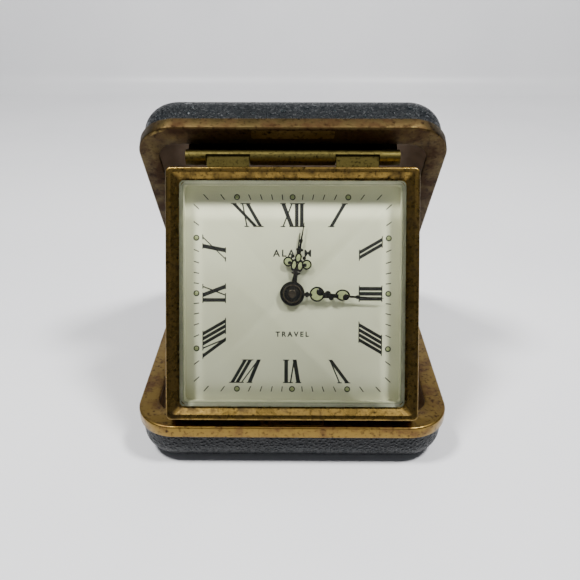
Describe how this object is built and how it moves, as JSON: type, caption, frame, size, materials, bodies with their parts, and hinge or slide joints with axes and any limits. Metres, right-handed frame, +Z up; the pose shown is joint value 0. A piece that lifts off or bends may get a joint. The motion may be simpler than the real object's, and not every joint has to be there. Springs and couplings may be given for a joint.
{
  "type": "travel alarm clock",
  "caption": "Folding travel alarm clock: two leather-covered brass-rimmed shells hinged together, with a square wind-up alarm clock hinged under the lid.",
  "frame": {"origin": "middle of the base half's flat underside", "axes": "+X to the right seen from the front, +Y to the rear where the two halves are hinged, +Z up"},
  "size_m": [0.08, 0.0865, 0.0826],
  "materials": {
    "leather": "pebbled dark blue-black leather, slightly glossy",
    "lining_cloth": "matte brown-grey cloth",
    "shell_steel": "plain pressed sheet, hidden",
    "aged_brass": "aged satin brass with darker patina",
    "movement_brass": "clean brushed brass",
    "knob_brass": "worn satin brass",
    "steel": "ground steel",
    "black_hands": "satin black lacquer",
    "crystal_clear": "clear polished acrylic",
    "dial_enamel": "matte cream lacquer",
    "ruby": "polished synthetic ruby"
  },
  "bodies": {
    "base": {"base_leather": "leather", "base_shell": "shell_steel", "base_lining": "lining_cloth", "base_rim": "aged_brass", "base_catch_plate": "aged_brass", "rear_hinge_base_leaf": "aged_brass", "rear_hinge_pin": "aged_brass"},
    "lid": {"lid_leather": "leather", "lid_shell": "shell_steel", "lid_lining": "lining_cloth", "lid_rim": "aged_brass", "lid_catch_plate": "aged_brass", "rear_hinge_lid_leaf": "aged_brass", "clock_hinge_leaf": "aged_brass", "clock_hinge_pin": "aged_brass"},
    "clock": {"bezel": "aged_brass", "crystal": "crystal_clear", "dial_spacer": "steel", "dial": "dial_enamel", "case_can": "aged_brass", "clock_hinge_tabs": "aged_brass", "back_cover": "aged_brass", "front_plate": "movement_brass", "back_plate": "movement_brass", "plate_pillars": "movement_brass", "cover_screws": "steel", "jewels": "ruby"},
    "minute_train": {"centre_arbor": "steel", "minute_hand": "black_hands", "time_set_knob": "knob_brass"},
    "hour_train": {"hour_wheel": "movement_brass", "hour_hand": "black_hands"},
    "minute_wheel_body": {"minute_wheel": "movement_brass"},
    "alarm_train": {"alarm_wheel": "movement_brass", "alarm_hand": "black_hands"},
    "alarm_setter": {"alarm_set_arbor": "steel", "alarm_set_knob": "knob_brass"},
    "going_barrel_body": {"going_barrel": "movement_brass", "going_mainspring": "steel"},
    "going_winder": {"going_winding_key": "knob_brass", "going_ratchet_wheel": "steel"},
    "going_click_body": {"going_click": "steel"},
    "alarm_barrel_body": {"alarm_barrel": "movement_brass", "alarm_mainspring": "steel"},
    "alarm_winder": {"alarm_winding_key": "knob_brass", "alarm_ratchet_wheel": "steel"},
    "alarm_click_body": {"alarm_click": "steel"},
    "centre_wheel_body": {"centre_wheel": "movement_brass"},
    "third_wheel_body": {"third_wheel": "movement_brass"},
    "fourth_wheel_body": {"fourth_wheel": "movement_brass"},
    "escape_wheel_body": {"escape_wheel": "movement_brass"},
    "lever_body": {"pallet_lever": "steel"},
    "balance_body": {"balance_wheel": "movement_brass", "hairspring": "steel"},
    "strike_wheel_body": {"strike_wheel": "movement_brass"},
    "hammer_body": {"alarm_hammer": "steel"},
    "regulator_body": {"regulator_lever": "steel"},
    "stop_body": {"alarm_stop_slide": "steel"}
  },
  "joints": [
    {"name": "lid_hinge", "type": "hinge", "parent": "base", "child": "lid", "pos_m": [0, 0.0402, 0.013], "axis": [-1, 0, 0], "range_deg": [0, 34.3]},
    {"name": "clock_fold", "type": "hinge", "parent": "lid", "child": "clock", "pos_m": [0, -0.00204, 0.07038], "axis": [1, 0, 0], "range_deg": [0, 61.3]},
    {"name": "hand_setting", "type": "hinge", "parent": "clock", "child": "minute_train", "pos_m": [0, -0.01641, 0.03872], "axis": [0, -0.891, 0.454], "continuous": true},
    {"name": "hour_hand_turn", "type": "hinge", "parent": "clock", "child": "hour_train", "pos_m": [0, -0.01641, 0.03872], "axis": [0, -0.891, 0.454], "continuous": true},
    {"name": "minute_wheel_turn", "type": "hinge", "parent": "clock", "child": "minute_wheel_body", "pos_m": [-0.003, -0.01877, 0.03409], "axis": [0, -0.891, 0.454], "continuous": true},
    {"name": "alarm_hand_turn", "type": "hinge", "parent": "clock", "child": "alarm_train", "pos_m": [0, -0.01641, 0.03872], "axis": [0, -0.891, 0.454], "continuous": true},
    {"name": "alarm_knob_turn", "type": "hinge", "parent": "clock", "child": "alarm_setter", "pos_m": [0.01136, -0.01596, 0.03961], "axis": [0, -0.891, 0.454], "continuous": true},
    {"name": "fourth_wheel_turn", "type": "hinge", "parent": "clock", "child": "fourth_wheel_body", "pos_m": [-0.00269, -0.01036, 0.0506], "axis": [0, -0.891, 0.454], "continuous": true},
    {"name": "third_wheel_turn", "type": "hinge", "parent": "clock", "child": "third_wheel_body", "pos_m": [0.0051, -0.0124, 0.04659], "axis": [0, -0.891, 0.454], "continuous": true},
    {"name": "centre_wheel_turn", "type": "hinge", "parent": "clock", "child": "centre_wheel_body", "pos_m": [0, -0.01641, 0.03872], "axis": [0, -0.891, 0.454], "continuous": true},
    {"name": "going_barrel_turn", "type": "hinge", "parent": "clock", "child": "going_barrel_body", "pos_m": [-0.01204, -0.02024, 0.03121], "axis": [0, -0.891, 0.454], "continuous": true},
    {"name": "escape_wheel_turn", "type": "hinge", "parent": "clock", "child": "escape_wheel_body", "pos_m": [-0.01036, -0.01006, 0.0512], "axis": [0, -0.891, 0.454], "continuous": true},
    {"name": "pallet_swing", "type": "hinge", "parent": "clock", "child": "lever_body", "pos_m": [-0.01462, -0.01073, 0.04989], "axis": [0, -0.891, 0.454], "range_deg": [-5, 5]},
    {"name": "balance_swing", "type": "hinge", "parent": "clock", "child": "balance_body", "pos_m": [-0.0176, -0.01119, 0.04897], "axis": [0, -0.891, 0.454], "range_deg": [-220, 220]},
    {"name": "going_winding", "type": "hinge", "parent": "clock", "child": "going_winder", "pos_m": [-0.01204, -0.02024, 0.03121], "axis": [0, -0.891, 0.454], "continuous": true},
    {"name": "going_click_lift", "type": "hinge", "parent": "clock", "child": "going_click_body", "pos_m": [-0.00924, -0.01804, 0.03553], "axis": [0, -0.891, 0.454], "range_deg": [0, 12]},
    {"name": "alarm_barrel_turn", "type": "hinge", "parent": "clock", "child": "alarm_barrel_body", "pos_m": [0.0135, -0.02141, 0.02892], "axis": [0, -0.891, 0.454], "continuous": true},
    {"name": "strike_wheel_turn", "type": "hinge", "parent": "clock", "child": "strike_wheel_body", "pos_m": [0.00199, -0.02331, 0.02519], "axis": [0, -0.891, 0.454], "continuous": true},
    {"name": "alarm_winding", "type": "hinge", "parent": "clock", "child": "alarm_winder", "pos_m": [0.0135, -0.02141, 0.02892], "axis": [0, -0.891, 0.454], "continuous": true},
    {"name": "alarm_click_lift", "type": "hinge", "parent": "clock", "child": "alarm_click_body", "pos_m": [0.01158, -0.0238, 0.02423], "axis": [0, -0.891, 0.454], "range_deg": [0, 12]},
    {"name": "hammer_swing", "type": "hinge", "parent": "clock", "child": "hammer_body", "pos_m": [0.003, -0.02654, 0.01885], "axis": [0, -0.891, 0.454], "range_deg": [-16, 4]},
    {"name": "regulator_shift", "type": "hinge", "parent": "clock", "child": "regulator_body", "pos_m": [-0.0176, -0.01119, 0.04897], "axis": [0, -0.891, 0.454], "range_deg": [-14, 14]},
    {"name": "alarm_stop", "type": "slide", "parent": "clock", "child": "stop_body", "axis": [1, 0, 0], "range_m": [0, 0.004]}
  ],
  "couplings": [
    {"joint": "clock_fold", "follows": "lid_hinge", "ratio": 1.7872},
    {"joint": "minute_wheel_turn", "follows": "hand_setting", "ratio": -0.33333},
    {"joint": "hour_hand_turn", "follows": "hand_setting", "ratio": 0.083333},
    {"joint": "alarm_knob_turn", "follows": "alarm_hand_turn", "ratio": -3.75},
    {"joint": "third_wheel_turn", "follows": "fourth_wheel_turn", "ratio": -0.125},
    {"joint": "centre_wheel_turn", "follows": "fourth_wheel_turn", "ratio": 0.016667},
    {"joint": "going_barrel_turn", "follows": "fourth_wheel_turn", "ratio": -0.0027778},
    {"joint": "escape_wheel_turn", "follows": "fourth_wheel_turn", "ratio": -10},
    {"joint": "strike_wheel_turn", "follows": "alarm_barrel_turn", "ratio": -6}
  ]
}
